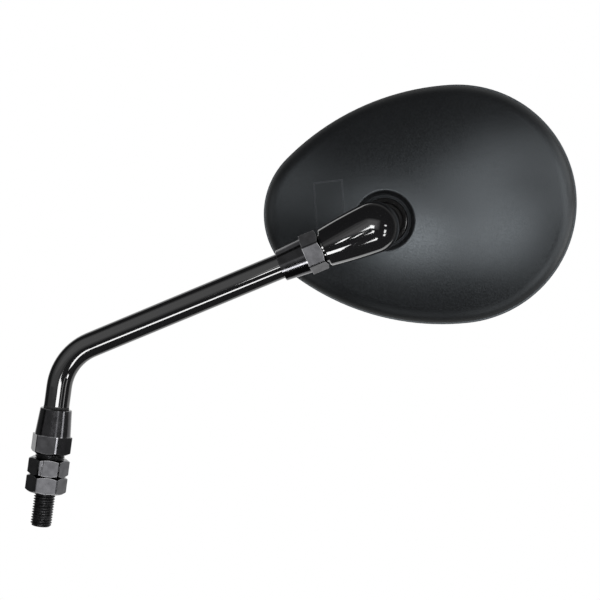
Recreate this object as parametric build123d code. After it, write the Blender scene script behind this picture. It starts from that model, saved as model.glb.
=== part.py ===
from build123d import *
import os
from math import asin, atan2, cos, radians, sin, sqrt, tan

# A rear-view mirror for a motorcycle: threaded stud, bent tube, ball-jointed egg-shaped head.
# Lengths are in millimetres and angles in degrees.
# The origin is on the stud axis at the seat of the lock nut, +Z runs up the stud, +X runs
# towards the head, and the glass faces +Y.

# Stud and adapter
stud_radius = 5.0
stud_free_length = 16.0
stud_tip_chamfer = 0.9
shank_relief = 0.3
shank_relief_below_seat = 0.1
hex_across_flats = 17.0
hex_edge_break = 1.0
hex_end_inset = 0.4
hex_chamfer_angle = 32.0
lock_nut_height = 8.2
lock_nut_turn = 16.0
adapter_hex_height = 8.2
adapter_hex_turn = 16.0
adapter_neck_gap = 2.4

# Threaded bosses that the cone nuts run on
boss_step = 1.0
boss_tip_chamfer = 0.6

# Cone nuts
cone_hex_length = 8.5
cone_taper_length = 12.6
cone_wall = 1.45
cone_edge_break = 0.25
cone_shoulder_depth = 13.6
lower_cone_nut_turn = -1.0
upper_cone_nut_turn = -10.5

# Stem
tube_radius = 6.0
tube_wall = 1.2
bend_radius = 25.0
bend_corner_height = 65.0
run_rise = 30.0
run_to_upper_nut = 133.3
ferrule_flange = 2.0
ferrule_plug_length = 11.0
ferrule_lip = 0.4
ferrule_bore_radius = 3.2
washer_thickness = 1.0

# Elbow with its ball
elbow_gap = 0.8
elbow_face_radius = 9.25
elbow_face_round = 0.5
elbow_end_radius = 12.1
elbow_end_distance = 24.6
elbow_side_angle = 86.0
neck_length = 28.0
neck_lean = 11.0
neck_swivel = 5.0
neck_radius = 4.8
neck_flare_radius = 9.0
neck_flare_slope = 0.55
ball_radius = 8.5

# Head outline: two end circles joined by two larger side arcs
big_end_radius = 58.9
small_end_radius = 38.7
end_spacing = 56.7
side_radius = 122.8
head_rise = 12.1
big_end_from_ball = 34.6
big_end_above_ball = 7.1
ball_below_crown = 10.0

# Housing shell
dome_height = 30.5
crown_radius_long = 150.0
crown_radius_short = 95.0
crown_half_angle = 70.0
crown_half_sweep = 50.0
edge_round = 14.0
shell_wall = 2.4
lip_width = 0.8
lip_height = 2.2
lip_round = 0.35
rim_wall = 2.2
pocket_depth = 6.0
ledge_width = 3.0
recess_flare = 1.4
recess_floor_gap = 1.4
recess_floor_height = 4.0
recess_lip_round = 1.6
boss_wall = 4.0
mark_from_big_end = 60.3
mark_top = 14.5
mark_width = 14.4
mark_height = 30.0
mark_line = 0.4
mark_depth = 0.25

# Ball socket
liner_thickness = 1.2
liner_edge_angle = 82.0
liner_opening_angle = 60.0
liner_base_angle = 150.0
front_liner_edge_angle = 97.0
ring_wall = 1.4
ring_nose_height = 6.0
ring_nose_round = 0.8
ring_opening_gap = 0.4
ring_flange_width = 2.2
ring_flange_bottom = 1.0
ring_flange_thickness = 2.0
cup_top = 1.4
cup_floor = 0.8
cup_hole_radius = 3.0
spring_thickness = 0.7
spring_height = 1.3
spring_inner_radius = 5.5
spring_rim_gap = 1.2
plate_thickness = 1.5
plate_ear_radius = 3.8
plate_hole_radius = 6.0
screw_count = 3
screw_radius = 1.75
screw_head_radius = 3.4
screw_head_height = 1.5
screw_length = 11.0
screw_slot_width = 0.9
screw_slot_depth = 0.7
screw_boss_radius = 3.8
screw_first_angle = 90.0

# Glass
gasket_width = 1.0
gasket_round = 0.35
gasket_front = 0.4
cushion_thickness = 2.0
glass_thickness = 2.2
glass_radius = 1300.0

# Clearances
thread_clearance = 0.05
tube_clearance = 0.05
ball_clearance = 0.05
socket_clearance = 0.1
glass_clearance = 0.05
screw_hole_clearance = 0.25

# How far a cutting shape runs past the face it opens, and how near an edge lies to count as on a face
cut_margin = 1.0
edge_nearness = 0.01

# Places that follow from the sizes above
hex_end_radius = hex_across_flats / 2 - hex_end_inset
boss_radius = tube_radius + boss_step
cone_base_radius = boss_radius + cone_wall
cone_tip_radius = tube_radius + cone_wall
cone_nut_length = cone_hex_length + cone_taper_length
adapter_bottom = lock_nut_height
adapter_top = adapter_bottom + adapter_hex_height
lower_nut_base = adapter_top + adapter_neck_gap
clamp_depth = cone_shoulder_depth - ferrule_flange
boss_reach = clamp_depth - washer_thickness
run_direction = Vector(cos(radians(run_rise)), 0, sin(radians(run_rise)))
run_up = Vector(-sin(radians(run_rise)), 0, cos(radians(run_rise)))
to_glass = Vector(0, 1, 0)
bend_corner = Vector(0, 0, bend_corner_height)
upper_nut_base = bend_corner + run_direction * run_to_upper_nut
elbow_face = upper_nut_base + run_direction * elbow_gap
elbow_end = elbow_face + run_direction * elbow_end_distance
neck_side = to_glass * cos(radians(neck_swivel)) + run_up * sin(radians(neck_swivel))
neck_direction = run_direction * sin(radians(neck_lean)) + neck_side * cos(radians(neck_lean))
ball_centre = elbow_end + neck_direction * neck_length
rim_from_ball = dome_height - ball_below_crown
head_along = Vector(cos(radians(head_rise)), 0, sin(radians(head_rise)))
head_up = Vector(-sin(radians(head_rise)), 0, cos(radians(head_rise)))
big_end = ball_centre + head_along * big_end_from_ball + head_up * big_end_above_ball
liner_inner = ball_radius + ball_clearance
liner_outer = liner_inner + liner_thickness
seat_radius = liner_outer + ball_clearance
ring_nose_radius = seat_radius + ring_wall
ring_opening_radius = ball_radius + ring_opening_gap
ring_flange_radius = ring_nose_radius + ring_flange_width
recess_floor_radius = ring_nose_radius + recess_floor_gap
recess_mouth_radius = recess_floor_radius + recess_flare
cup_depth = seat_radius + cup_floor
socket_bore_radius = ring_flange_radius + socket_clearance
socket_boss_radius = socket_bore_radius + boss_wall
screw_circle = socket_boss_radius + screw_boss_radius - boss_wall / 2
plate_seat = cup_depth + spring_height
pocket_inset = lip_width + rim_wall
egg_middle = (big_end_radius - end_spacing - small_end_radius) / 2
egg_half_length = (big_end_radius + end_spacing + small_end_radius) / 2
glass_inset = pocket_inset + glass_clearance + gasket_width + glass_clearance
cushion_front = pocket_depth - cushion_thickness

# Local frames: each has its z axis along the turned piece
lower_nut_plane = Plane((0, 0, lower_nut_base), x_dir=(1, 0, 0), z_dir=(0, 0, 1))
upper_nut_plane = Plane(upper_nut_base, x_dir=run_up, z_dir=run_direction * -1)
elbow_plane = Plane(elbow_face, x_dir=(0, 1, 0), z_dir=run_direction)
neck_plane = Plane(elbow_end, x_dir=run_direction, z_dir=neck_direction)
socket_plane = Plane(ball_centre, x_dir=head_along, z_dir=to_glass)
head_origin = big_end + to_glass * rim_from_ball
head_plane = Plane(head_origin, x_dir=head_along, z_dir=to_glass * -1)


def turned(points):
    """A solid of revolution about z from its outline in radius and height."""
    outline = [Vector(radius, 0, height) for radius, height in points]
    return revolve(Face(Wire.make_polygon(outline, close=True)), Axis.Z)


def tube_piece(outer, inner, low, high):
    """A plain ring about z."""
    return turned([(inner, low), (outer, low), (outer, high), (inner, high)])


def hex_bar(length, low_chamfer, high_chamfer):
    """A hexagonal bar on z = 0 whose corners are turned off at the chosen ends."""
    bar = extrude(RegularPolygon(hex_across_flats / 2, 6, major_radius=False), length)
    bar = fillet(bar.edges().filter_by(Axis.Z), hex_edge_break)
    corner = hex_across_flats / sqrt(3)
    drop = (corner - hex_end_radius) * tan(radians(hex_chamfer_angle))
    low_end = [(hex_end_radius, 0), (corner, drop)] if low_chamfer else [(corner, 0)]
    high_end = [(corner, length - drop), (hex_end_radius, length)] if high_chamfer else [(corner, length)]
    return bar & turned([(0, 0)] + low_end + high_end + [(0, length)])


def make_mount_adapter():
    """Stud, hexagon and threaded boss turned from one bar, the shank relieved where the lock nut parks."""
    hexagon = Rot(0, 0, adapter_hex_turn) * hex_bar(adapter_hex_height, True, True)
    hexagon = Pos(0, 0, adapter_bottom) * hexagon
    boss_top = lower_nut_base + boss_reach
    stud = turned([
        (0, -stud_free_length),
        (stud_radius - stud_tip_chamfer, -stud_free_length),
        (stud_radius, -stud_free_length + stud_tip_chamfer),
        (stud_radius, -shank_relief_below_seat),
        (stud_radius - shank_relief, -shank_relief_below_seat),
        (stud_radius - shank_relief, adapter_bottom),
        (0, adapter_bottom),
    ])
    boss = turned([
        (0, adapter_top),
        (boss_radius, adapter_top),
        (boss_radius, boss_top - boss_tip_chamfer),
        (boss_radius - boss_tip_chamfer, boss_top),
        (0, boss_top),
    ])
    return hexagon + stud + boss


def make_lock_nut():
    nut = Rot(0, 0, lock_nut_turn) * hex_bar(lock_nut_height, True, True)
    return nut - tube_piece(stud_radius + thread_clearance, 0, -cut_margin, lock_nut_height + cut_margin)


def make_cone_nut(turn):
    """Hexagon at z = 0 and a taper above it, bored to run on a boss and grip a flange."""
    hexagon = Rot(0, 0, turn) * hex_bar(cone_hex_length, True, False)
    taper = turned([
        (0, cone_hex_length),
        (cone_base_radius, cone_hex_length),
        (cone_tip_radius, cone_nut_length - cone_edge_break),
        (cone_tip_radius - cone_edge_break, cone_nut_length),
        (0, cone_nut_length),
    ])
    threaded = tube_piece(boss_radius + thread_clearance, 0, 0, cone_shoulder_depth)
    land = tube_piece(tube_radius + tube_clearance, 0, cone_shoulder_depth, cone_nut_length)
    return hexagon + taper - threaded - land


def make_friction_washer():
    """Flat ring between a boss and the flange of a stem ferrule."""
    return tube_piece(tube_radius + ferrule_lip, ferrule_bore_radius, boss_reach, clamp_depth)


def make_ferrule():
    """Flanged plug pressed into an end of the tube."""
    bore = tube_radius - tube_wall
    tip = cone_shoulder_depth + ferrule_plug_length
    return turned([
        (ferrule_bore_radius, clamp_depth),
        (tube_radius + ferrule_lip, clamp_depth),
        (tube_radius + ferrule_lip, cone_shoulder_depth),
        (bore, cone_shoulder_depth),
        (bore, tip),
        (ferrule_bore_radius, tip),
    ])


def make_stem_tube():
    start = Vector(0, 0, lower_nut_base + cone_shoulder_depth)
    finish = upper_nut_base - run_direction * cone_shoulder_depth
    path = FilletPolyline(start, bend_corner, finish, radius=bend_radius)
    section = Plane(start, x_dir=(1, 0, 0), z_dir=(0, 0, 1))
    outside = sweep(section * Circle(tube_radius), path)
    inside = sweep(section * Circle(tube_radius - tube_wall), path)
    return outside - inside


def make_elbow():
    """Casting with a threaded boss, a swelling round-ended body, a flared neck and a ball."""
    end_angle = radians(elbow_side_angle)
    end_start = (elbow_end_radius * sin(end_angle), elbow_end_distance - elbow_end_radius * cos(end_angle))
    end_tip = (0, elbow_end_distance + elbow_end_radius)
    end_half = (end_angle + radians(180)) / 2
    end_middle = (elbow_end_radius * sin(end_half), elbow_end_distance - elbow_end_radius * cos(end_half))
    face_edge = (elbow_face_radius, elbow_face_round)
    boss_end = boss_reach + elbow_gap
    boss_tip = boss_radius - boss_tip_chamfer

    def at(point):
        return Vector(point[0], 0, point[1])

    side = TangentArc(at(end_start), at(face_edge), tangent=Vector(-cos(end_angle), 0, -sin(end_angle)))
    outline = Wire([
        Line(at((0, -boss_end)), at((boss_tip, -boss_end))),
        Line(at((boss_tip, -boss_end)), at((boss_radius, -boss_end + boss_tip_chamfer))),
        Line(at((boss_radius, -boss_end + boss_tip_chamfer)), at((boss_radius, 0))),
        Line(at((boss_radius, 0)), at((elbow_face_radius - elbow_face_round, 0))),
        Line(at((elbow_face_radius - elbow_face_round, 0)), at(face_edge)),
        side,
        ThreePointArc(at(end_start), at(end_middle), at(end_tip)),
        Line(at(end_tip), at((0, -boss_end))),
    ])
    body = elbow_plane * revolve(Face(outline), Axis.Z)
    neck_top = neck_length - sqrt(ball_radius ** 2 - neck_radius ** 2)
    flare_start = elbow_end_radius * cos(asin(neck_flare_radius / elbow_end_radius))
    flare = Spline(
        at((neck_flare_radius, flare_start)),
        at((neck_radius, neck_top)),
        tangents=(Vector(-1, 0, neck_flare_slope), Vector(0, 0, 1)),
    )
    neck_outline = Wire([
        Line(at((0, 0)), at((neck_flare_radius, flare_start))),
        flare,
        Line(at((neck_radius, neck_top)), at((0, neck_length))),
        Line(at((0, neck_length)), at((0, 0))),
    ])
    neck = neck_plane * revolve(Face(neck_outline), Axis.Z)
    ball = Pos(*ball_centre) * Sphere(ball_radius)
    return body + neck + ball


def egg_face(inset):
    """The head outline on z = 0, moved inwards by an inset."""
    big = big_end_radius - inset
    small = small_end_radius - inset
    side = side_radius - inset
    to_big = side_radius - big_end_radius
    to_small = side_radius - small_end_radius
    centre_x = (to_small ** 2 - to_big ** 2 - end_spacing ** 2) / (2 * end_spacing)
    centre_y = sqrt(to_big ** 2 - centre_x ** 2)
    big_angle = atan2(centre_y, -centre_x)
    small_angle = atan2(centre_y, -end_spacing - centre_x)
    middle_angle = (big_angle + small_angle) / 2
    big_top = Vector(big * cos(big_angle), big * sin(big_angle))
    small_top = Vector(small * cos(small_angle) - end_spacing, small * sin(small_angle))
    side_top = Vector(centre_x + side * cos(middle_angle), side * sin(middle_angle) - centre_y)
    big_low = Vector(big_top.X, -big_top.Y)
    small_low = Vector(small_top.X, -small_top.Y)
    side_low = Vector(side_top.X, -side_top.Y)
    return Face(Wire([
        ThreePointArc(big_low, Vector(big, 0), big_top),
        ThreePointArc(big_top, side_top, small_top),
        ThreePointArc(small_top, Vector(-end_spacing - small, 0), small_low),
        ThreePointArc(small_low, side_low, big_low),
    ]))


def egg_ring(outer_inset, inner_inset, low, high):
    """A band that follows the head outline."""
    band = egg_face(outer_inset) - egg_face(inner_inset)
    return Pos(0, 0, low) * extrude(band, high - low, dir=(0, 0, 1))


def dome(inset, drop, low, rounding):
    """The egg-shaped dome above a height: an egg prism under a doubly curved crown, its edge rolled over."""
    long_radius = crown_radius_long - drop
    short_radius = crown_radius_short - drop
    peak = dome_height - drop
    base = -dome_height
    edge_y = short_radius * sin(radians(crown_half_angle))
    edge_z = peak - short_radius + short_radius * cos(radians(crown_half_angle))
    section = Face(Wire([
        ThreePointArc((0, edge_y, edge_z), (0, 0, peak), (0, -edge_y, edge_z)),
        Line((0, -edge_y, edge_z), (0, -edge_y, base - cut_margin)),
        Line((0, -edge_y, base - cut_margin), (0, edge_y, base - cut_margin)),
        Line((0, edge_y, base - cut_margin), (0, edge_y, edge_z)),
    ]))
    spin = Axis((0, 0, peak - long_radius), (0, 1, 0))
    crown = revolve(section.rotate(spin, -crown_half_sweep), spin, 2 * crown_half_sweep)
    prism = Pos(0, 0, base) * extrude(egg_face(inset), dome_height - base, dir=(0, 0, 1))
    body = prism & (Pos(egg_middle, 0, 0) * crown)
    curved = body.edges().filter_by(GeomType.LINE, reverse=True)
    top_edges = [edge for edge in curved if edge.center().Z > base + cut_margin]
    return split(fillet(top_edges, rounding), bisect_by=Plane.XY.offset(low), keep=Keep.TOP)


def socket_to_head(shape):
    """Carry a shape from the socket frame to the head frame."""
    return head_plane.location.inverse() * (socket_plane * shape)


def screw_places():
    turns = [screw_first_angle + 360 / screw_count * index for index in range(screw_count)]
    return [Rot(0, 0, turn) * Pos(screw_circle, 0, 0) for turn in turns]


def make_mould_mark(outside):
    """A shallow plain frame engraved in the back of the dome."""
    inside = dome(lip_width + mark_depth, mark_depth, 0, edge_round - mark_depth)
    frame = Rectangle(mark_width, mark_height)
    frame -= Rectangle(mark_width - 2 * mark_line, mark_height - 2 * mark_line)
    place = Pos(-mark_from_big_end, mark_top - mark_height / 2, 0)
    return (place * extrude(frame, dome_height)) & (outside - inside)


def make_housing():
    """Moulded shell with a rim lip, a glass pocket, a ball recess and a socket boss."""
    outside = dome(lip_width, 0, 0, edge_round)
    lip = extrude(egg_face(0), lip_height, dir=(0, 0, 1))
    lip = fillet(lip.edges().filter_by(GeomType.LINE, reverse=True), lip_round)
    cavity = dome(pocket_inset + ledge_width, shell_wall, pocket_depth - cut_margin, edge_round - shell_wall)
    pocket = extrude(egg_face(pocket_inset), pocket_depth, dir=(0, 0, 1))
    boss = tube_piece(socket_boss_radius, 0, -dome_height, plate_seat)
    for place in screw_places():
        boss += place * tube_piece(screw_boss_radius, 0, -ring_nose_height, plate_seat)
    shell = outside + lip - cavity - pocket + (socket_to_head(boss) & outside)
    recess = socket_to_head(turned([
        (0, -recess_floor_height),
        (recess_floor_radius, -recess_floor_height),
        (recess_mouth_radius, -ball_below_crown),
        (recess_mouth_radius, -dome_height),
        (0, -dome_height),
    ]))
    open_shell = shell - recess
    floor = rim_from_ball + recess_floor_height
    cut_edges = new_edges(shell, recess, combined=open_shell)
    mouth = [edge for edge in cut_edges if edge.bounding_box().min.Z > floor + recess_lip_round]
    open_shell = fillet(mouth, recess_lip_round)
    nose_bore = tube_piece(ring_nose_radius + socket_clearance, 0, -ball_below_crown, 0)
    cut_top = plate_seat + cut_margin
    socket_bore = tube_piece(socket_bore_radius, 0, ring_flange_bottom - ring_flange_thickness, cut_top)
    open_shell -= socket_to_head(nose_bore + socket_bore)
    pilot_low = plate_seat + plate_thickness - screw_length - cut_margin
    for place in screw_places():
        open_shell -= socket_to_head(place * tube_piece(screw_radius, 0, pilot_low, cut_top))
    return head_plane * (open_shell - make_mould_mark(outside))


def ball_shell(first_angle, last_angle):
    """Part of a spherical liner between two angles measured from the neck side."""
    def at(radius, angle):
        return Vector(radius * sin(radians(angle)), 0, -radius * cos(radians(angle)))

    middle = (first_angle + last_angle) / 2
    outline = Wire([
        ThreePointArc(at(liner_inner, first_angle), at(liner_inner, middle), at(liner_inner, last_angle)),
        Line(at(liner_inner, last_angle), at(liner_outer, last_angle)),
        ThreePointArc(at(liner_outer, last_angle), at(liner_outer, middle), at(liner_outer, first_angle)),
        Line(at(liner_outer, first_angle), at(liner_inner, first_angle)),
    ])
    return socket_plane * revolve(Face(outline), Axis.Z)


def make_socket_ring():
    """Flanged ring whose rounded nose stands in the recess around the neck."""
    flange_low = ring_flange_bottom - ring_flange_thickness
    ring = turned([
        (0, -ring_nose_height),
        (ring_nose_radius, -ring_nose_height),
        (ring_nose_radius, flange_low),
        (ring_flange_radius, flange_low),
        (ring_flange_radius, ring_flange_bottom),
        (0, ring_flange_bottom),
    ])
    ring -= Sphere(seat_radius)
    ring -= tube_piece(ring_opening_radius, 0, -ring_nose_height - cut_margin, 0)
    nose = [edge for edge in ring.edges() if abs(edge.center().Z + ring_nose_height) < edge_nearness]
    return socket_plane * fillet(nose, ring_nose_round)


def make_pressure_cup():
    """Cup that presses the front liner on to the ball."""
    cup = tube_piece(ring_flange_radius, cup_hole_radius, cup_top, cup_depth)
    return socket_plane * (cup - Sphere(seat_radius))


def make_disc_spring():
    """Coned ring between the cup and the retainer plate."""
    rim = ring_flange_radius - spring_rim_gap
    return socket_plane * turned([
        (spring_inner_radius, cup_depth),
        (spring_inner_radius, cup_depth + spring_thickness),
        (rim, cup_depth + spring_height),
        (rim, cup_depth + spring_height - spring_thickness),
    ])


def make_retainer_plate():
    plate_top = plate_seat + plate_thickness
    hole_radius = screw_radius + screw_hole_clearance
    plate = tube_piece(socket_boss_radius, plate_hole_radius, plate_seat, plate_top)
    for place in screw_places():
        plate += place * tube_piece(plate_ear_radius, 0, plate_seat, plate_top)
    for place in screw_places():
        plate -= place * tube_piece(hole_radius, 0, plate_seat - cut_margin, plate_top + cut_margin)
    return socket_plane * plate


def make_retainer_screws():
    head_low = plate_seat + plate_thickness
    head_top = head_low + screw_head_height
    screw = tube_piece(screw_radius, 0, head_low - screw_length, head_low)
    screw += tube_piece(screw_head_radius, 0, head_low, head_top)
    slot = Pos(0, 0, head_top) * Box(3 * screw_head_radius, screw_slot_width, 2 * screw_slot_depth)
    screw -= slot
    return Compound([socket_plane * (place * screw) for place in screw_places()])


def make_glass_gasket():
    """Rubber strip between the rim of the housing and the edge of the glass."""
    outer = pocket_inset + glass_clearance
    strip = egg_ring(outer, outer + gasket_width, gasket_front, pocket_depth)
    front = [edge for edge in strip.edges() if abs(edge.center().Z - gasket_front) < edge_nearness]
    return head_plane * fillet(front, gasket_round)


def make_glass_cushion():
    """Foam band that the back of the glass is bonded to."""
    return head_plane * egg_ring(glass_inset, pocket_inset + ledge_width, cushion_front, pocket_depth)


def make_mirror_glass():
    """Convex sheet of even thickness, bent about a distant centre behind it."""
    far_edge = egg_half_length - glass_inset
    behind = cushion_front + sqrt((glass_radius - glass_thickness) ** 2 - far_edge ** 2)
    sheet = Sphere(glass_radius) - Sphere(glass_radius - glass_thickness)
    prism = Pos(0, 0, -dome_height / 2) * extrude(egg_face(glass_inset), dome_height, dir=(0, 0, 1))
    return head_plane * (prism & (Pos(egg_middle, 0, behind) * sheet))


nodes = {
    "mount_adapter": make_mount_adapter(),
    "lock_nut": make_lock_nut(),
    "lower_cone_nut": lower_nut_plane * make_cone_nut(lower_cone_nut_turn),
    "lower_friction_washer": lower_nut_plane * make_friction_washer(),
    "lower_stem_ferrule": lower_nut_plane * make_ferrule(),
    "stem_tube": make_stem_tube(),
    "upper_stem_ferrule": upper_nut_plane * make_ferrule(),
    "upper_friction_washer": upper_nut_plane * make_friction_washer(),
    "upper_cone_nut": upper_nut_plane * make_cone_nut(upper_cone_nut_turn),
    "elbow": make_elbow(),
    "housing": make_housing(),
    "socket_ring": make_socket_ring(),
    "rear_ball_liner": ball_shell(liner_opening_angle, liner_edge_angle),
    "front_ball_liner": ball_shell(front_liner_edge_angle, liner_base_angle),
    "pressure_cup": make_pressure_cup(),
    "disc_spring": make_disc_spring(),
    "retainer_plate": make_retainer_plate(),
    "retainer_screws": make_retainer_screws(),
    "glass_gasket": make_glass_gasket(),
    "glass_cushion": make_glass_cushion(),
    "mirror_glass": make_mirror_glass(),
}

os.makedirs("parts", exist_ok=True)
for name, shape in nodes.items():
    export_step(shape, f"parts/{name}.step")
print("ball centre", [round(value, 3) for value in ball_centre])
print("run direction", [round(value, 6) for value in run_direction])
print("upper nut base", [round(value, 3) for value in upper_nut_base])
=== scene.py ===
"""Dresses the motorcycle mirror: cut threads, dark nuts, gloss stem, grained shell, glass and studio."""

import math

import bmesh
import bpy
from bpy.props import FloatProperty, FloatVectorProperty, IntProperty, PointerProperty
from mathutils import Matrix, Vector


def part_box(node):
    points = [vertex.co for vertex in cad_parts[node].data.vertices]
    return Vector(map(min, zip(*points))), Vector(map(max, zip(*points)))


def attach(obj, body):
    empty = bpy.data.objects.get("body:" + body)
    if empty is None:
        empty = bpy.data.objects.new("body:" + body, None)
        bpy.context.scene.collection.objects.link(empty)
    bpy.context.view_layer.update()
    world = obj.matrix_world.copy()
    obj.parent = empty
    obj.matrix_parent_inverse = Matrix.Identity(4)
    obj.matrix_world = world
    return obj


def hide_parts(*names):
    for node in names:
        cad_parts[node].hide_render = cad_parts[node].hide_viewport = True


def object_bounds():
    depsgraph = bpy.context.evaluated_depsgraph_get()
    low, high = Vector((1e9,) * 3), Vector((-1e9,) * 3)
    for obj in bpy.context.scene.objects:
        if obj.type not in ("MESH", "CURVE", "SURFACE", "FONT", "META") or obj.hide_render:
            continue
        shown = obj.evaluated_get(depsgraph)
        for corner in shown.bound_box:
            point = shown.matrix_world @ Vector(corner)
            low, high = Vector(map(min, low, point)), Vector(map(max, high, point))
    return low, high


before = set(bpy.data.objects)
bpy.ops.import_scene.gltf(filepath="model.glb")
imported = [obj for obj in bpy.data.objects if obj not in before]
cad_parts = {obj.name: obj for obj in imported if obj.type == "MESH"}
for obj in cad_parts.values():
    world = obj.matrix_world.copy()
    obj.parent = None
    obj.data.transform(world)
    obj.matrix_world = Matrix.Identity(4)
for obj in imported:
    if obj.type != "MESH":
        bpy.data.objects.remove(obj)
cad_box = [list(corner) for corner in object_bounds()]

# Corners of a mesh that lie nearer than this are joined.
weld = 1e-7

# Points that most of the lamps for each group of pieces are turned to.
nut_middle = Vector((0.0, 0.0, 0.02))
tube_middle = Vector((0.07, 0.0, 0.1))
elbow_middle = Vector((0.14, 0.0, 0.145))
shell_middle = Vector((0.17, 0.02, 0.16))
glass_middle = Vector((0.17, 0.04, 0.16))

bl_info = {
    "name": "Motorcycle Mirror",
    "version": (1, 0, 0),
    "blender": (4, 5, 0),
    "location": "3D View > Sidebar > Mirror",
    "description": "Finishes the pieces of a motorcycle mirror and sets the studio around it",
    "category": "Object",
}


class ThreadSizes(bpy.types.PropertyGroup):
    """Sizes of the two cut threads on the adapter."""

    stud_radius: FloatProperty(
        name="Stud radius",
        description="Radius at the crests of the mounting stud",
        default=0.005,
        unit="LENGTH",
        precision=5,
    )
    boss_radius: FloatProperty(
        name="Boss radius",
        description="Radius at the crests of the boss that the cone nut runs on",
        default=0.007,
        unit="LENGTH",
        precision=5,
    )
    stud_pitch: FloatProperty(
        name="Stud pitch",
        description="Distance between crests on the mounting stud",
        default=0.00125,
        unit="LENGTH",
        precision=5,
    )
    boss_pitch: FloatProperty(
        name="Boss pitch",
        description="Distance between crests on the boss that the cone nut runs on",
        default=0.001,
        unit="LENGTH",
        precision=5,
    )
    depth_share: FloatProperty(
        name="Depth share",
        description="Thread depth as a share of its pitch",
        default=0.613,
        subtype="FACTOR",
        min=0.1,
        max=0.8,
    )
    tip_chamfer: FloatProperty(
        name="Tip chamfer",
        description="Chamfer at the free end of each thread",
        default=0.0009,
        unit="LENGTH",
        precision=5,
    )
    turn_steps: IntProperty(
        name="Steps in a turn",
        description="Mesh columns around one turn of thread",
        default=64,
        min=16,
        max=128,
    )
    pitch_steps: IntProperty(
        name="Steps in a pitch",
        description="Mesh rows along one pitch of thread",
        default=8,
        min=6,
        max=24,
    )


class FinishColours(bpy.types.PropertyGroup):
    """Colours and roughness of the mirror's finishes."""

    nut_colour: FloatVectorProperty(
        name="Nut metal",
        description="Dark plated metal of the nuts and the adapter",
        default=(0.085, 0.085, 0.09),
        subtype="COLOR",
        min=0.0,
        max=1.0,
    )
    nut_roughness: FloatProperty(
        name="Nut roughness",
        description="Roughness of the plated nuts",
        default=0.15,
        subtype="FACTOR",
        min=0.0,
        max=1.0,
    )
    worn_colour: FloatVectorProperty(
        name="Worn edge",
        description="Paler metal along the nuts' handled edges",
        default=(0.36, 0.36, 0.37),
        subtype="COLOR",
        min=0.0,
        max=1.0,
    )
    thread_colour: FloatVectorProperty(
        name="Thread metal",
        description="Oiled black metal of the cut threads",
        default=(0.06, 0.06, 0.062),
        subtype="COLOR",
        min=0.0,
        max=1.0,
    )
    paint_colour: FloatVectorProperty(
        name="Stem paint",
        description="Gloss black paint of the stem and the elbow",
        default=(0.006, 0.006, 0.0065),
        subtype="COLOR",
        min=0.0,
        max=1.0,
    )
    paint_roughness: FloatProperty(
        name="Paint roughness",
        description="Roughness of the gloss paint",
        default=0.05,
        subtype="FACTOR",
        min=0.0,
        max=1.0,
    )
    shell_colour: FloatVectorProperty(
        name="Shell plastic",
        description="Black moulded plastic of the housing",
        default=(0.0042, 0.0043, 0.0047),
        subtype="COLOR",
        min=0.0,
        max=1.0,
    )
    shell_roughness: FloatProperty(
        name="Shell roughness",
        description="Roughness of the grained housing",
        default=0.37,
        subtype="FACTOR",
        min=0.0,
        max=1.0,
    )
    socket_colour: FloatVectorProperty(
        name="Socket plastic",
        description="Black plastic of the socket ring and the ball's liners",
        default=(0.012, 0.012, 0.012),
        subtype="COLOR",
        min=0.0,
        max=1.0,
    )
    steel_colour: FloatVectorProperty(
        name="Plain steel",
        description="Bare steel of the ferrules, spring, plate and screws",
        default=(0.52, 0.52, 0.53),
        subtype="COLOR",
        min=0.0,
        max=1.0,
    )
    nylon_colour: FloatVectorProperty(
        name="White nylon",
        description="White nylon of the friction washers and the pressure cup",
        default=(0.72, 0.71, 0.67),
        subtype="COLOR",
        min=0.0,
        max=1.0,
    )
    rubber_colour: FloatVectorProperty(
        name="Gasket rubber",
        description="Black rubber of the strip around the glass",
        default=(0.018, 0.018, 0.018),
        subtype="COLOR",
        min=0.0,
        max=1.0,
    )
    foam_colour: FloatVectorProperty(
        name="Cushion foam",
        description="Grey foam under the glass",
        default=(0.16, 0.16, 0.165),
        subtype="COLOR",
        min=0.0,
        max=1.0,
    )
    silver_colour: FloatVectorProperty(
        name="Mirror silver",
        description="Silvering of the glass",
        default=(0.88, 0.9, 0.9),
        subtype="COLOR",
        min=0.0,
        max=1.0,
    )


class StudioSetting(bpy.types.PropertyGroup):
    """The view, the floor and the level of the main lamps."""

    azimuth: FloatProperty(
        name="Azimuth",
        description="How far round the camera stands from straight behind the head",
        default=math.radians(6.0),
        subtype="ANGLE",
    )
    elevation: FloatProperty(
        name="Elevation",
        description="How far the camera looks down",
        default=math.radians(0.5),
        subtype="ANGLE",
    )
    roll: FloatProperty(
        name="Roll",
        description="How far the camera leans about its own line of sight",
        default=math.radians(7.69),
        subtype="ANGLE",
    )
    distance: FloatProperty(
        name="Distance",
        description="Distance from the camera to the point it looks at",
        default=0.65,
        subtype="DISTANCE",
    )
    aim: FloatVectorProperty(
        name="Aim",
        description="Point that the camera looks at",
        default=(0.1081, 0.0, 0.10649),
        subtype="XYZ",
    )
    lens: FloatProperty(
        name="Lens",
        description="Focal length on a 36 mm sensor",
        default=83.85,
        unit="CAMERA",
    )
    floor_colour: FloatVectorProperty(
        name="Floor",
        description="Pale colour of the floor",
        default=(0.82, 0.82, 0.81),
        subtype="COLOR",
        min=0.0,
        max=1.0,
    )
    floor_drop: FloatProperty(
        name="Floor drop",
        description="Height of the mirror's foot over the floor",
        default=0.45,
        unit="LENGTH",
    )
    lamp_level: FloatProperty(
        name="Lamp level",
        description="Brightness of the main panels, where 1 is white paper in room light",
        default=13.0,
        min=0.0,
    )


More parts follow.
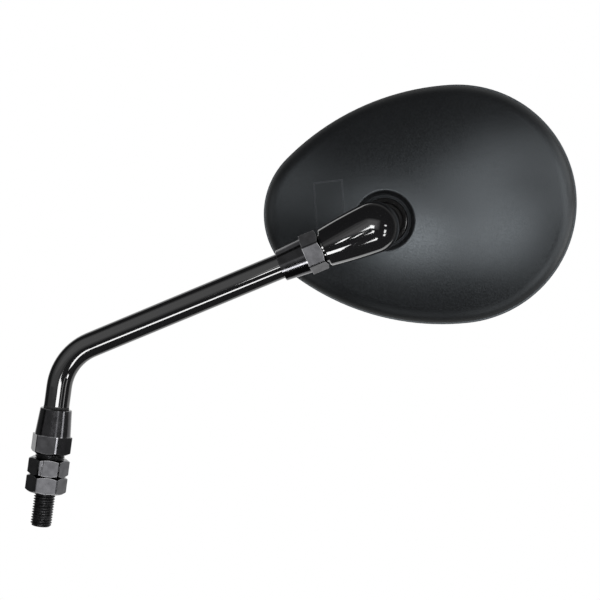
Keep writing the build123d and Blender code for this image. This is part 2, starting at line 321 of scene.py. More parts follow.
def new_finish(name):
    """An empty finish: its material, its node tree and its shader."""
    finish = bpy.data.materials.new(name)
    finish.use_nodes = True
    return finish, finish.node_tree, finish.node_tree.nodes["Principled BSDF"]


def feed(tree, source, socket):
    """Gives a socket its value: a link from another node's output, or a constant."""
    if isinstance(source, bpy.types.NodeSocket):
        tree.links.new(source, socket)
    else:
        socket.default_value = source


def place_on_piece(tree):
    """Place on the piece, in metres, which moves with the piece."""
    return tree.nodes.new("ShaderNodeTexCoord").outputs["Object"]


def speckle(tree, size, detail=2.0, stretch=(1.0, 1.0, 1.0)):
    """Soft noise from 0 to 1 whose blots are about one size across, stretched along an axis."""
    mapping = tree.nodes.new("ShaderNodeMapping")
    mapping.vector_type = "POINT"
    mapping.inputs["Scale"].default_value = [1.0 / step for step in stretch]
    tree.links.new(place_on_piece(tree), mapping.inputs["Vector"])
    noise = tree.nodes.new("ShaderNodeTexNoise")
    noise.inputs["Scale"].default_value = 1.0 / size
    noise.inputs["Detail"].default_value = detail
    tree.links.new(mapping.outputs["Vector"], noise.inputs["Vector"])
    return noise.outputs["Fac"]


def spread(tree, source, low=0.0, high=1.0, start=0.3, end=0.7):
    """Maps a 0 to 1 pattern on to a range of values."""
    node = tree.nodes.new("ShaderNodeMapRange")
    node.interpolation_type = "SMOOTHSTEP"
    node.inputs["From Min"].default_value = start
    node.inputs["From Max"].default_value = end
    node.inputs["To Min"].default_value = low
    node.inputs["To Max"].default_value = high
    tree.links.new(source, node.inputs["Value"])
    return node.outputs["Result"]


def join_values(tree, operation, first, second):
    """One number from two."""
    node = tree.nodes.new("ShaderNodeMath")
    node.operation = operation
    tree.links.new(first, node.inputs[0])
    tree.links.new(second, node.inputs[1])
    return node.outputs["Value"]


def distance_from(tree, point):
    """Distance on the piece from a point, in metres."""
    node = tree.nodes.new("ShaderNodeVectorMath")
    node.operation = "DISTANCE"
    node.inputs[1].default_value = point
    tree.links.new(place_on_piece(tree), node.inputs[0])
    return node.outputs["Value"]


def blend_colours(tree, share, first, second):
    """Mixes two colours by a pattern."""
    node = tree.nodes.new("ShaderNodeMix")
    node.data_type = "RGBA"
    tree.links.new(share, node.inputs["Factor"])
    for source, socket in ((first, node.inputs["A"]), (second, node.inputs["B"])):
        feed(tree, source, socket)
    return node.outputs["Result"]


def tint(colour, share):
    """A darker or lighter version of a colour, with an opaque fourth part."""
    return tuple(min(1.0, part * share) for part in colour) + (1.0,)


def mottle(tree, colour, size, dark, light, detail=3.0):
    """A colour that drifts in soft blots between a darker and a lighter version of itself."""
    blots = spread(tree, speckle(tree, size, detail))
    return blend_colours(tree, blots, tint(colour, dark), tint(colour, light))


def sharp_edges(tree, reach):
    """A mask of 1 along the piece's sharp edges, which fades within the reach."""
    rounded = tree.nodes.new("ShaderNodeBevel")
    rounded.samples = 6
    rounded.inputs["Radius"].default_value = reach
    surface = tree.nodes.new("ShaderNodeNewGeometry")
    likeness = tree.nodes.new("ShaderNodeVectorMath")
    likeness.operation = "DOT_PRODUCT"
    tree.links.new(rounded.outputs["Normal"], likeness.inputs[0])
    tree.links.new(surface.outputs["Normal"], likeness.inputs[1])
    return spread(tree, likeness.outputs["Value"], 1.0, 0.0, 0.9, 0.995)


def relief(tree, shader, height, depth, strength=1.0):
    """Raises the surface by a pattern, as a bump."""
    bump = tree.nodes.new("ShaderNodeBump")
    bump.inputs["Strength"].default_value = strength
    bump.inputs["Distance"].default_value = depth
    tree.links.new(height, bump.inputs["Height"])
    tree.links.new(bump.outputs["Normal"], shader.inputs["Normal"])


def nut_metal(colours):
    """Dark plated metal with handling blotches, an uneven shine and paler edges."""
    finish, tree, shader = new_finish("dark nut metal")
    plated = mottle(tree, colours.nut_colour, 0.004, 0.82, 1.18)
    worn = blend_colours(tree, sharp_edges(tree, 0.0005), plated, tint(colours.worn_colour, 1.0))
    feed(tree, worn, shader.inputs["Base Color"])
    shader.inputs["Metallic"].default_value = 1.0
    handled = speckle(tree, 0.003, 3.0, stretch=(1.0, 1.0, 0.5))
    rough = spread(tree, handled, colours.nut_roughness - 0.02, colours.nut_roughness + 0.03)
    feed(tree, rough, shader.inputs["Roughness"])
    relief(tree, shader, handled, 0.000004, 0.5)
    return finish


def thread_metal(colours):
    """Oiled black metal of the cut threads, with paler crests."""
    finish, tree, shader = new_finish("black thread metal")
    oiled = mottle(tree, colours.thread_colour, 0.0025, 0.6, 1.5)
    crests = blend_colours(tree, sharp_edges(tree, 0.00012), oiled, tint(colours.nut_colour, 0.9))
    feed(tree, crests, shader.inputs["Base Color"])
    shader.inputs["Metallic"].default_value = 1.0
    feed(tree, spread(tree, speckle(tree, 0.0015), 0.4, 0.5), shader.inputs["Roughness"])
    relief(tree, shader, speckle(tree, 0.0012), 0.000006, 0.5)
    return finish


def gloss_paint(colours):
    """Gloss black paint with a slight orange peel and fine dust, dulled where it enters the lower nut."""
    finish, tree, shader = new_finish("gloss black paint")
    dust = spread(tree, speckle(tree, 0.0006, 1.0), 0.0, 0.16, 0.74, 0.8)
    dust_colour = (0.25, 0.25, 0.24, 1.0)
    colour = blend_colours(tree, dust, tint(colours.paint_colour, 1.0), dust_colour)
    feed(tree, colour, shader.inputs["Base Color"])
    haze = spread(
        tree,
        speckle(tree, 0.012, 3.0),
        colours.paint_roughness - 0.015,
        colours.paint_roughness + 0.03,
    )
    height = tree.nodes.new("ShaderNodeSeparateXYZ")
    tree.links.new(place_on_piece(tree), height.inputs["Vector"])
    # A thin band of paint just above the lower nut is made very rough, so it shows no highlight there.
    nut_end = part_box("lower_cone_nut")[1].z
    rough_band = spread(tree, height.outputs["Z"], 0.9, 0.0, nut_end + 0.0011, nut_end + 0.0015)
    feed(tree, join_values(tree, "MAXIMUM", haze, rough_band), shader.inputs["Roughness"])
    shader.inputs["IOR"].default_value = 1.75
    relief(tree, shader, speckle(tree, 0.004, 1.0), 0.000008, 0.6)
    return finish


def shell_plastic(colours):
    """Black moulded plastic with a fine spark-eroded grain, paler edges that are partly rubbed wear and
    partly painted highlight, dull in the recess.
    """
    finish, tree, shader = new_finish("black shell plastic")
    colour = mottle(tree, colours.shell_colour, 0.02, 0.88, 1.15)
    # Paler colour along sharp edges and the engraved groove's corners: partly rubbed wear, partly a
    # painted highlight that stands in for light catching the edges and marking the groove.
    rubbed_and_highlit = blend_colours(
        tree,
        spread(tree, sharp_edges(tree, 0.0006), 0.0, 0.8, 0.2, 1.0),
        colour,
        tint(colours.shell_colour, 12.0),
    )
    feed(tree, rubbed_and_highlit, shader.inputs["Base Color"])
    grain = speckle(tree, 0.0008, 3.0)
    rough = spread(tree, grain, colours.shell_roughness - 0.05, colours.shell_roughness + 0.06)
    low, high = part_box("socket_ring")
    middle = (low + high) / 2.0
    reach = (high.x - low.x) / 2.0
    dull = spread(tree, distance_from(tree, middle), 0.8, 0.0, reach, 1.15 * reach)
    feed(tree, join_values(tree, "MAXIMUM", rough, dull), shader.inputs["Roughness"])
    shader.inputs["IOR"].default_value = 1.73
    shader.inputs["Specular Tint"].default_value = (0.85, 0.935, 1.0, 1.0)
    relief(tree, shader, grain, 0.00005, 0.5)
    return finish


def plain_plastic(name, colour, roughness, grain_size, grain_depth):
    """Moulded plastic, rubber or foam with its own grain."""
    finish, tree, shader = new_finish(name)
    feed(tree, mottle(tree, colour, 0.006, 0.88, 1.1), shader.inputs["Base Color"])
    grain = speckle(tree, grain_size, 2.0)
    feed(tree, spread(tree, grain, roughness - 0.05, roughness + 0.06), shader.inputs["Roughness"])
    relief(tree, shader, grain, grain_depth, 0.6)
    return finish


def plain_steel(colours):
    """Bare steel with fine turned marks and dull patches."""
    finish, tree, shader = new_finish("plain steel")
    feed(tree, mottle(tree, colours.steel_colour, 0.005, 0.75, 1.1), shader.inputs["Base Color"])
    shader.inputs["Metallic"].default_value = 1.0
    marks = speckle(tree, 0.0004, 2.0, stretch=(2.0, 0.5, 2.0))
    feed(tree, spread(tree, marks, 0.24, 0.38), shader.inputs["Roughness"])
    relief(tree, shader, marks, 0.00002, 0.5)
    return finish


def mirror_silver(colours):
    """Silvered convex glass with a faint film of dust."""
    finish, tree, shader = new_finish("mirror silver")
    filmed = mottle(tree, colours.silver_colour, 0.018, 0.97, 1.0, detail=4.0)
    feed(tree, filmed, shader.inputs["Base Color"])
    shader.inputs["Metallic"].default_value = 1.0
    feed(tree, spread(tree, speckle(tree, 0.012, 4.0), 0.008, 0.03), shader.inputs["Roughness"])
    relief(tree, shader, speckle(tree, 0.03, 1.0), 0.000004, 0.3)
    return finish


def dress(finish, *nodes):
    """Gives CAD nodes one finish."""
    for node in nodes:
        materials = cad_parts[node].data.materials
        materials.clear()
        materials.append(finish)


def thread_radius(phase, crest, depth):
    """Radius of a thread at a phase from 0 to 1 of its pitch, with flats at the crest and the root."""
    crest_flat = 1.0 / 16.0
    root_flat = 1.0 / 8.0
    from_crest = abs(phase - 0.5)
    fall = (from_crest - crest_flat) / (0.5 - root_flat - crest_flat)
    return crest - depth * min(1.0, max(0.0, fall))


def add_thread(mesh, crest, pitch, low, high, tips, sizes):
    """Adds a closed threaded rod about the Z axis; tips are the heights whose edge is chamfered."""
    depth = pitch * sizes.depth_share
    columns = sizes.turn_steps
    turns = math.ceil((high - low) / pitch) + 1
    rows = range(-sizes.pitch_steps, turns * sizes.pitch_steps + 1)
    grid = []
    for column in range(columns + 1):
        share = column / columns
        angle = math.tau * (column % columns) / columns
        line = []
        for row in rows:
            height = min(high, max(low, low + pitch * (share + row / sizes.pitch_steps)))
            phase = ((height - low) / pitch - share) % 1.0
            radius = thread_radius(phase, crest, depth)
            for tip in tips:
                radius = min(radius, crest - sizes.tip_chamfer + abs(height - tip))
            line.append(
                mesh.verts.new((radius * math.cos(angle), radius * math.sin(angle), height))
            )
        grid.append(line)
    faces = []
    for left, right in zip(grid, grid[1:]):
        for corner in range(len(left) - 1):
            faces.append(
                mesh.faces.new((left[corner], right[corner], right[corner + 1], left[corner + 1]))
            )
    ends = []
    for height, row in ((low, 0), (high, -1)):
        centre = mesh.verts.new((0.0, 0.0, height))
        ends.append(centre)
        for left, right in zip(grid, grid[1:]):
            faces.append(mesh.faces.new((left[row], right[row], centre)))
    for face in faces:
        face.smooth = True
        face.material_index = 1
    corners = [corner for line in grid for corner in line] + ends
    bmesh.ops.remove_doubles(mesh, verts=corners, dist=weld)


def hexagon_height():
    """Height of the adapter's hexagon: its widest faces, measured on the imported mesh."""
    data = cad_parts["mount_adapter"].data
    clear_of_boss = 0.0078
    wide = [corner.co.z for corner in data.vertices if corner.co.xy.length > clear_of_boss]
    return max(wide) - min(wide)


def cut_to_hexagon(mesh, low, high):
    """Removes what lies outside two heights and closes the holes that are left."""
    slack = 1e-6
    outside = [
        corner for corner in mesh.verts if not low - slack < corner.co.z < high + slack
    ]
    bmesh.ops.delete(mesh, geom=outside, context="VERTS")
    bmesh.ops.remove_doubles(mesh, verts=mesh.verts, dist=weld)
    rims = [edge for edge in mesh.edges if edge.is_boundary]
    bmesh.ops.holes_fill(mesh, edges=rims)


class MIRROR_OT_cut_threads(bpy.types.Operator):
    """Keep the adapter's hexagon and cut real threads on its stud and boss"""

    bl_idname = "mirror.cut_threads"
    bl_label = "Cut Threads"

    def execute(self, context):
        sizes = context.scene.mirror_threads
        colours = context.scene.mirror_finishes
        low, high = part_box("mount_adapter")
        hex_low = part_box("lock_nut")[1].z
        hex_high = hex_low + hexagon_height()
        mesh = bmesh.new()
        mesh.from_mesh(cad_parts["mount_adapter"].data)
        cut_to_hexagon(mesh, hex_low, hex_high)
        # Each rod reaches a little way into the hexagon.
        bury = 0.0004
        stud_end = hex_low + bury
        boss_start = hex_high - bury
        add_thread(mesh, sizes.stud_radius, sizes.stud_pitch, low.z, stud_end, (low.z,), sizes)
        add_thread(mesh, sizes.boss_radius, sizes.boss_pitch, boss_start, high.z, (high.z,), sizes)
        bmesh.ops.recalc_face_normals(mesh, faces=mesh.faces)
        data = bpy.data.meshes.new("threaded_adapter")
        mesh.to_mesh(data)
        mesh.free()
        data.materials.append(nut_metal(colours))
        data.materials.append(thread_metal(colours))
        adapter = bpy.data.objects.new("threaded_adapter", data)
        context.scene.collection.objects.link(adapter)
        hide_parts("mount_adapter")
        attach(adapter, "mount")
        return {"FINISHED"}


class MIRROR_OT_plate_nuts(bpy.types.Operator):
    """Give the lock nut and both cone nuts their dark plating"""

    bl_idname = "mirror.plate_nuts"
    bl_label = "Plate Nuts"

    def execute(self, context):
        dress(
            nut_metal(context.scene.mirror_finishes), "lock_nut", "lower_cone_nut", "upper_cone_nut"
        )
        return {"FINISHED"}


class MIRROR_OT_paint_stem(bpy.types.Operator):
    """Paint the stem tube and the elbow gloss black"""

    bl_idname = "mirror.paint_stem"
    bl_label = "Paint Stem"

    def execute(self, context):
        dress(gloss_paint(context.scene.mirror_finishes), "stem_tube", "elbow")
        return {"FINISHED"}


class MIRROR_OT_mould_shell(bpy.types.Operator):
    """Give the housing its grained black plastic"""

    bl_idname = "mirror.mould_shell"
    bl_label = "Mould Shell"

    def execute(self, context):
        dress(shell_plastic(context.scene.mirror_finishes), "housing")
        return {"FINISHED"}


class MIRROR_OT_fit_socket(bpy.types.Operator):
    """Finish the gloss ring and the two liners around the ball"""

    bl_idname = "mirror.fit_socket"
    bl_label = "Fit Socket"

    def execute(self, context):
        black = context.scene.mirror_finishes.socket_colour
        dress(plain_plastic("gloss black plastic", black, 0.16, 0.0011, 0.00001), "socket_ring")
        liners = ("rear_ball_liner", "front_ball_liner")
        dress(plain_plastic("black nylon", black, 0.45, 0.0006, 0.00002), *liners)
        return {"FINISHED"}


class MIRROR_OT_fit_clamps(bpy.types.Operator):
    """Finish the ferrules and washers inside the cone nuts, and the nylon pressure cup"""

    bl_idname = "mirror.fit_clamps"
    bl_label = "Fit Clamps"

    def execute(self, context):
        colours = context.scene.mirror_finishes
        dress(plain_steel(colours), "lower_stem_ferrule", "upper_stem_ferrule")
        nylon = plain_plastic("white nylon", colours.nylon_colour, 0.42, 0.0007, 0.00002)
        dress(nylon, "lower_friction_washer", "upper_friction_washer", "pressure_cup")
        return {"FINISHED"}


class MIRROR_OT_fit_spring(bpy.types.Operator):
    """Finish the spring, plate and screws that press on the ball"""

    bl_idname = "mirror.fit_spring"
    bl_label = "Fit Spring"

    def execute(self, context):
        pressed = ("disc_spring", "retainer_plate", "retainer_screws")
        dress(plain_steel(context.scene.mirror_finishes), *pressed)
        return {"FINISHED"}


def smooth_copy(name, node):
    """A copy of a CAD piece, welded and shaded afresh, that takes the piece's place."""
    mesh = bmesh.new()
    mesh.from_mesh(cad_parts[node].data)
    bmesh.ops.remove_doubles(mesh, verts=mesh.verts, dist=weld)
    data = bpy.data.meshes.new(name)
    mesh.to_mesh(data)
    mesh.free()
    shading = data.attributes.get("custom_normal")
    if shading:
        data.attributes.remove(shading)
    data.shade_smooth()
    crease = math.radians(25.0)
    data.set_sharp_from_angle(angle=crease)
    piece = bpy.data.objects.new(name, data)
    bpy.context.scene.collection.objects.link(piece)
    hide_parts(node)
    return piece


class MIRROR_OT_set_glass(bpy.types.Operator):
    """Polish the mirror glass and finish its gasket and its foam cushion"""

    bl_idname = "mirror.set_glass"
    bl_label = "Set Glass"

    def execute(self, context):
        colours = context.scene.mirror_finishes
        glass = smooth_copy("convex_glass", "mirror_glass")
        glass.data.materials.clear()
        glass.data.materials.append(mirror_silver(colours))
        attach(glass, "head")
        dress(plain_plastic("black rubber", colours.rubber_colour, 0.62, 0.0008, 0.00004), "glass_gasket")
        dress(plain_plastic("grey foam", colours.foam_colour, 0.85, 0.0009, 0.0002), "glass_cushion")
        return {"FINISHED"}


def bearing(turn, rise):
    """Direction that stands a turn to the right of the front and a rise over the level, in radians."""
    return Vector((math.sin(turn) * math.cos(rise), -math.cos(turn) * math.cos(rise), math.sin(rise)))


def add_panel(name, place, aim, width, height, level):
    """A soft lamp panel of one level, turned to a point and unseen by the camera."""
    lamp = bpy.data.lights.new(name, "AREA")
    lamp.shape = "RECTANGLE"
    lamp.size = width
    lamp.size_y = height
    lamp.energy = level * math.pi * width * height
    panel = bpy.data.objects.new(name, lamp)
    panel.location = place
    away = Vector(place) - Vector(aim)
    panel.rotation_euler = away.to_track_quat("Z", "Y").to_euler()
    panel.visible_camera = False
    bpy.context.scene.collection.objects.link(panel)
    return panel


def add_far_panel(name, middle, turn, rise, wide, tall, level):
    """A panel across the room, given in degrees by its bearing and by the angles that it fills."""
    reach = 2.5
    way = bearing(math.radians(turn), math.radians(rise))
    width = 2.0 * reach * math.tan(math.radians(wide) / 2.0)
    height = 2.0 * reach * math.tan(math.radians(tall) / 2.0)
    return add_panel(name, middle + way * reach, middle, width, height, level)


def add_soft_wall(name, middle, turn, rise, wide, tall, level):
    """Three far panels, one behind the other, whose light fades towards the wall's edge."""
    shares = (0.66, 0.9, 1.12)
    gap = 0.05
    part = level / len(shares)
    way = bearing(math.radians(turn), math.radians(rise))
    panels = []
    for count, share in enumerate(shares, 1):
        place = middle + way * gap * count
        panels.append(
            add_far_panel(f"{name} {count}", place, turn, rise, share * wide, share * tall, part)
        )
    return panels


def keep_to(panels, name, pieces):
    """Keeps lamp panels to some of the pieces."""
    group = bpy.data.collections.new(name)
    for piece in pieces:
        group.objects.link(piece)
    for panel in panels:
        panel.light_linking.receiver_collection = group


def light_tube(level):
    """Panels that draw lines along the gloss tube, and a wall that fills its middle with grey."""
    return (
        add_panel("front panel low", (0.2575, -0.8, -0.05), (0.2575, 0.0, 0.05), 0.385, 0.075, level),
        add_panel("front panel high", (0.105, -0.8, 0.135), tube_middle, 0.25, 0.1, 0.16 * level),
        add_panel("low strip end", (0.3, -0.14, -0.08), (0.012, 0.0, 0.06), 0.08, 0.035, level),
        add_far_panel("side strip near", tube_middle, 46.0, 0.0, 5.0, 40.0, 0.15 * level),
        *add_soft_wall("front wall", tube_middle, -19.0, 24.0, 112.0, 70.0, 0.68),
    )


def light_nuts(level):
    """Panels for the flat faces of the nuts and the adapter, and narrow ones for their rounded corners."""
    return (
        add_far_panel("nut band", nut_middle, 0.0, -9.0, 120.0, 11.0, 0.5),
        add_far_panel("nut panel", nut_middle, 13.0, -12.0, 22.0, 16.0, 1.5),
        add_far_panel("nut line", nut_middle, 34.0, 6.0, 9.0, 12.0, 0.1 * level),
        add_far_panel("nut side line", nut_middle, 76.0, 0.0, 10.0, 40.0, 0.12 * level),
        add_far_panel("nut wall", nut_middle, 0.0, 15.0, 120.0, 80.0, 0.2),
        add_far_panel("nut left wall", nut_middle, -113.0, 53.0, 40.0, 40.0, 0.35),
        add_far_panel("nut low left wall", nut_middle, -104.0, -9.0, 50.0, 50.0, 0.08),
        add_far_panel("nut right wall", nut_middle, 100.0, 0.0, 24.0, 60.0, 0.14),
    )


def light_corner(level):
    """A bright panel for the rounded corner of the lower cone nut."""
    return (add_far_panel("corner panel", nut_middle, 37.0, -10.0, 78.0, 6.5, 0.6 * level),)


def light_stem(level):
    """Panels that the tube and the nuts share."""
    return (
        add_panel("low strip", (0.122, -0.225, -0.119), (0.09, 0.0, 0.11), 0.18, 0.056, level),
        add_far_panel("side strip", tube_middle, 76.0, 0.0, 8.0, 40.0, 0.2 * level),
        add_panel("rear panel", (0.2, 1.5, 0.1), tube_middle, 4.0, 4.0, 0.69),
    )


def light_elbow(level):
    """Short panels that leave dashes on the elbow, a wall that greys it and a panel for its edge."""
    return (
        add_panel("elbow panel", (0.105, -0.8, 0.135), elbow_middle, 0.25, 0.17, level),
        add_panel("left dash", (0.06, -0.293, 0.065), elbow_middle, 0.018, 0.04, level),
        add_panel("middle dash", (0.1, -0.294, 0.053), elbow_middle, 0.01, 0.04, level),
        add_panel("right dash", (0.164, -0.286, 0.035), elbow_middle, 0.042, 0.05, level),
        add_panel("low dash", (0.11, -0.225, -0.115), elbow_middle, 0.095, 0.08, level),
        add_panel("low end dash", (0.275, -0.225, -0.18), elbow_middle, 0.06, 0.075, level),
        *add_soft_wall("elbow wall", elbow_middle, -2.0, 12.0, 60.0, 44.0, 0.75),
        add_panel("elbow rear panel", (0.1, 1.5, 0.1), elbow_middle, 4.0, 4.0, 1.39),
    )


def light_ball(level):
    """Small panels to the right that leave dots on the elbow's end and on the socket ring."""
    return (
        add_far_panel("side dash high", elbow_middle, 57.0, 11.5, 10.0, 5.0, 0.8 * level),
        add_far_panel("side dash middle", elbow_middle, 59.0, -11.0, 9.0, 12.0, 0.8 * level),
        add_far_panel("side dash low", elbow_middle, 62.0, -25.0, 9.0, 8.0, 0.8 * level),
    )


def light_ring(level):
    """A small panel that leaves sparks on the round edge of the socket ring."""
    return (add_far_panel("ring panel", elbow_middle, 22.0, 4.0, 16.0, 10.0, level),)


def light_shell():
    """Broad panels around the satin shell, brightest low in front of it and weaker for its rim."""
    wide, tall = 28.0, 26.0
    return (
        add_far_panel("shell low panel", shell_middle, 0.0, -18.0, wide, tall, 4.4),
        add_far_panel("shell low right panel", shell_middle, 36.0, -18.0, wide, tall, 2.1),
        add_far_panel("shell low side panel", shell_middle, 90.0, -28.0, wide, tall, 1.0),
        add_far_panel("shell low left panel", shell_middle, -65.0, -36.0, wide, tall, 0.35),
        add_far_panel("shell under panel", shell_middle, 180.0, -85.0, wide, tall, 0.3),
        add_far_panel("shell under left panel", shell_middle, -97.0, -45.0, wide, tall, 0.3),
        add_far_panel("shell under right panel", shell_middle, 100.0, -57.0, wide, tall, 0.5),
        add_far_panel("shell left rim panel", shell_middle, -95.0, 0.0, wide, tall, 0.3),
        add_far_panel("shell left panel", shell_middle, -18.0, 0.0, wide, tall, 1.5),
        add_far_panel("shell far left panel", shell_middle, -60.0, 10.0, wide, tall, 0.8),
        add_far_panel("shell right panel", shell_middle, 36.0, 0.0, wide, tall, 2.0),
        add_far_panel("shell side panel", shell_middle, 72.0, 18.0, wide, tall, 1.5),
        add_far_panel("shell upper side panel", shell_middle, 72.0, 38.0, wide, tall, 0.7),
        add_far_panel("shell rim panel", shell_middle, 90.0, 0.0, wide, tall, 1.2),
        add_far_panel("shell far rim panel", shell_middle, 122.0, -5.0, wide, tall, 0.7),
        add_far_panel("shell high rim panel", shell_middle, 110.0, 28.0, wide, tall, 0.8),
        add_far_panel("shell high panel", shell_middle, 18.0, 18.0, wide, tall, 1.6),
        add_far_panel("shell high right panel", shell_middle, 36.0, 36.0, wide, tall, 1.2),
    )


def light_glass():
    """Pale screens behind and in front of the mirror that its glass shows."""
    return (
        add_far_panel("rear screen", glass_middle, 180.0, 13.0, 110.0, 50.0, 0.5),
        add_far_panel("rear wide screen", glass_middle, 173.0, 7.0, 120.0, 120.0, 0.19),
        add_far_panel("front screen", glass_middle, 0.0, 13.0, 110.0, 50.0, 0.85),
        add_far_panel("front low screen", glass_middle, 0.0, -37.0, 110.0, 50.0, 0.35),
    )


def add_lamps(level):
    """Lamps for each group of pieces, and a soft fill from above for all of them."""
    pieces = {piece.name: piece for piece in bpy.context.scene.objects if piece.type == "MESH"}
    shell = [pieces["housing"], pieces["glass_gasket"]]
    elbow = [pieces["elbow"], pieces["rear_ball_liner"], pieces["front_ball_liner"]]
    ring = [pieces["socket_ring"]]
    glass = [pieces["convex_glass"]]
    stem = [piece for piece in pieces.values() if piece not in shell + elbow + ring + glass]
    nuts = [piece for piece in stem if piece.name != "stem_tube"]
    keep_to(light_stem(level), "stem lit", stem)
    keep_to(light_tube(level), "tube lit", [pieces["stem_tube"]])
    keep_to(light_nuts(level), "nuts lit", nuts)
    keep_to(light_corner(level), "corner lit", [pieces["lower_cone_nut"]])
    keep_to(light_elbow(level), "elbow lit", elbow)
    keep_to(light_ball(level), "ball lit", elbow + ring)
    keep_to(light_ring(level), "ring lit", ring)
    keep_to(light_shell(), "shell lit", shell)
    keep_to(light_glass(), "glass lit", glass)
    sky = add_panel("top panel", (0.1, 0.25, 1.1), (0.1, 0.0, 0.12), 1.0, 1.0, 0.8)
    sky.visible_glossy = False


def reach_towards(tree, way, axis, low, high, start, end):
    """Brightness that rises as a direction nears an axis."""
    nearness = tree.nodes.new("ShaderNodeVectorMath")
    nearness.operation = "DOT_PRODUCT"
    nearness.inputs[1].default_value = Vector(axis).normalized()
    tree.links.new(way, nearness.inputs[0])
    return spread(tree, nearness.outputs["Value"], low, high, start, end)


def shape_room(world):
    """White to the camera; to gloss, a dim room with a paler backdrop behind the mirror."""
    world.use_nodes = True
    tree = world.node_tree
    white = tree.nodes["Background"]
    white.inputs["Color"].default_value = (1.0, 1.0, 1.0, 1.0)
    white.inputs["Strength"].default_value = 1.0
    way = tree.nodes.new("ShaderNodeTexCoord").outputs["Generated"]
    behind = (0.12, 0.97, 0.12)
    dim = 0.03
    pale = 0.19
    backdrop = reach_towards(tree, way, behind, dim, pale, 0.36, 0.62)
    mirrored = tree.nodes.new("ShaderNodeBackground")
    mirrored.inputs["Color"].default_value = (1.0, 1.0, 0.98, 1.0)
    tree.links.new(backdrop, mirrored.inputs["Strength"])
    fill = tree.nodes.new("ShaderNodeBackground")
    fill.inputs["Color"].default_value = (1.0, 1.0, 1.0, 1.0)
    fill.inputs["Strength"].default_value = 0.5
    path = tree.nodes.new("ShaderNodeLightPath")
    sharp = join_values(
        tree, "MAXIMUM", path.outputs["Is Glossy Ray"], path.outputs["Is Transmission Ray"]
    )
    unseen = tree.nodes.new("ShaderNodeMixShader")
    tree.links.new(sharp, unseen.inputs["Fac"])
    tree.links.new(fill.outputs["Background"], unseen.inputs[1])
    tree.links.new(mirrored.outputs["Background"], unseen.inputs[2])
    seen = tree.nodes.new("ShaderNodeMixShader")
    tree.links.new(path.outputs["Is Camera Ray"], seen.inputs["Fac"])
    tree.links.new(unseen.outputs["Shader"], seen.inputs[1])
    tree.links.new(white.outputs["Background"], seen.inputs[2])
    tree.links.new(seen.outputs["Shader"], tree.nodes["World Output"].inputs["Surface"])


def lay_floor(studio, foot):
    """A pale round floor under the mirror that fades into the white room at its rim."""
    radius = 1.2
    mesh = bmesh.new()
    bmesh.ops.create_circle(mesh, cap_ends=True, segments=96, radius=radius)
    data = bpy.data.meshes.new("floor")
    mesh.to_mesh(data)
    mesh.free()
    floor = bpy.data.objects.new("floor", data)
    floor.location = (0.1, 0.0, foot - studio.floor_drop)
    floor.visible_glossy = False
    bpy.context.scene.collection.objects.link(floor)
    lamp_place = (0.1, 0.0, 1.3)
    lamp_width = 1.6
    panel = add_panel("floor panel", lamp_place, floor.location, lamp_width, lamp_width, 1.5)
    keep_to((panel,), "floor lit", (floor,))
    finish, tree, shader = new_finish("pale floor")
    feed(tree, mottle(tree, studio.floor_colour, 0.05, 0.98, 1.02), shader.inputs["Base Color"])
    shader.inputs["Roughness"].default_value = 0.9
    reach = tree.nodes.new("ShaderNodeVectorMath")
    reach.operation = "LENGTH"
    tree.links.new(place_on_piece(tree), reach.inputs[0])
    clear = tree.nodes.new("ShaderNodeBsdfTransparent")
    fade = tree.nodes.new("ShaderNodeMixShader")
    rim = spread(tree, reach.outputs["Value"], 0.0, 1.0, 0.5 * radius, 0.98 * radius)
    tree.links.new(rim, fade.inputs["Fac"])
    tree.links.new(shader.outputs["BSDF"], fade.inputs[1])
    tree.links.new(clear.outputs["BSDF"], fade.inputs[2])
    tree.links.new(fade.outputs["Shader"], tree.nodes["Material Output"].inputs["Surface"])
    data.materials.append(finish)


def aim_camera(scene, studio):
    """The camera at the photograph's viewing angle."""
    turn, rise, roll = studio.azimuth, studio.elevation, studio.roll
    back = bearing(turn, rise)
    level = Vector((math.cos(turn), math.sin(turn), 0.0))
    upright = back.cross(level)
    right = level * math.cos(roll) + upright * math.sin(roll)
    up = upright * math.cos(roll) - level * math.sin(roll)
    camera = bpy.data.objects.new("camera", bpy.data.cameras.new("camera"))
    camera.data.lens = studio.lens
    camera.data.sensor_width = 36.0
    place = Vector(studio.aim) + back * studio.distance
    axes = Matrix((right, up, back)).transposed().to_4x4()
    camera.matrix_world = Matrix.Translation(place) @ axes
    scene.collection.objects.link(camera)
    scene.camera = camera


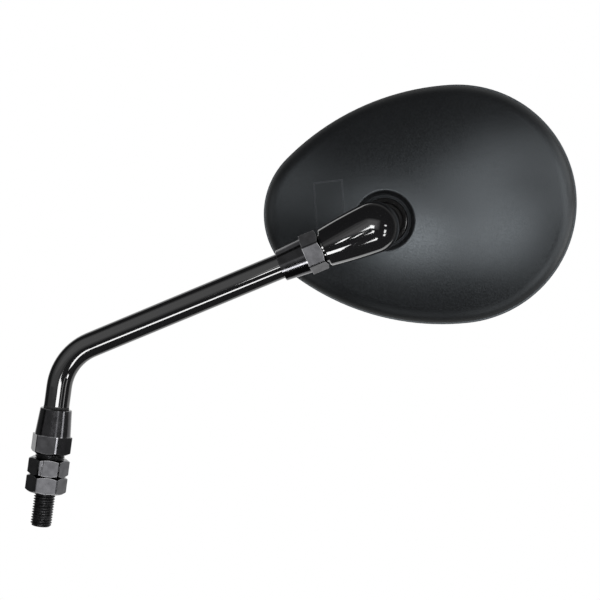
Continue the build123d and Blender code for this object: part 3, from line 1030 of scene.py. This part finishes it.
class MIRROR_OT_set_studio(bpy.types.Operator):
    """Set the floor, the lamps, the white room and the camera"""

    bl_idname = "mirror.set_studio"
    bl_label = "Set Studio"

    def execute(self, context):
        scene = context.scene
        studio = scene.mirror_studio
        scene.world = bpy.data.worlds.new("white room")
        shape_room(scene.world)
        add_lamps(studio.lamp_level)
        lay_floor(studio, cad_box[0][2])
        aim_camera(scene, studio)
        scene.view_settings.view_transform = "Standard"
        return {"FINISHED"}


operators = (
    MIRROR_OT_cut_threads,
    MIRROR_OT_plate_nuts,
    MIRROR_OT_paint_stem,
    MIRROR_OT_mould_shell,
    MIRROR_OT_fit_socket,
    MIRROR_OT_fit_clamps,
    MIRROR_OT_fit_spring,
    MIRROR_OT_set_glass,
    MIRROR_OT_set_studio,
)


class MIRROR_PT_build(bpy.types.Panel):
    """Sidebar panel with the mirror's sizes, colours and steps"""

    bl_label = "Motorcycle Mirror"
    bl_idname = "MIRROR_PT_build"
    bl_space_type = "VIEW_3D"
    bl_region_type = "UI"
    bl_category = "Mirror"

    def draw(self, context):
        scene = context.scene
        for group in (scene.mirror_threads, scene.mirror_finishes, scene.mirror_studio):
            box = self.layout.box()
            for name in group.__annotations__:
                box.prop(group, name)
        for operator in operators:
            self.layout.operator(operator.bl_idname)


groups = {
    "mirror_threads": ThreadSizes,
    "mirror_finishes": FinishColours,
    "mirror_studio": StudioSetting,
}


def register():
    for name, group in groups.items():
        bpy.utils.register_class(group)
        setattr(bpy.types.Scene, name, PointerProperty(type=group))
    for operator in operators:
        bpy.utils.register_class(operator)
    bpy.utils.register_class(MIRROR_PT_build)


def unregister():
    bpy.utils.unregister_class(MIRROR_PT_build)
    for operator in reversed(operators):
        bpy.utils.unregister_class(operator)
    for name, group in groups.items():
        delattr(bpy.types.Scene, name)
        bpy.utils.unregister_class(group)


def main():
    register()
    bpy.ops.mirror.cut_threads()
    bpy.ops.mirror.plate_nuts()
    bpy.ops.mirror.paint_stem()
    bpy.ops.mirror.mould_shell()
    bpy.ops.mirror.fit_socket()
    bpy.ops.mirror.fit_clamps()
    bpy.ops.mirror.fit_spring()
    bpy.ops.mirror.set_glass()
    bpy.ops.mirror.set_studio()


if __name__ == "__main__":
    main()
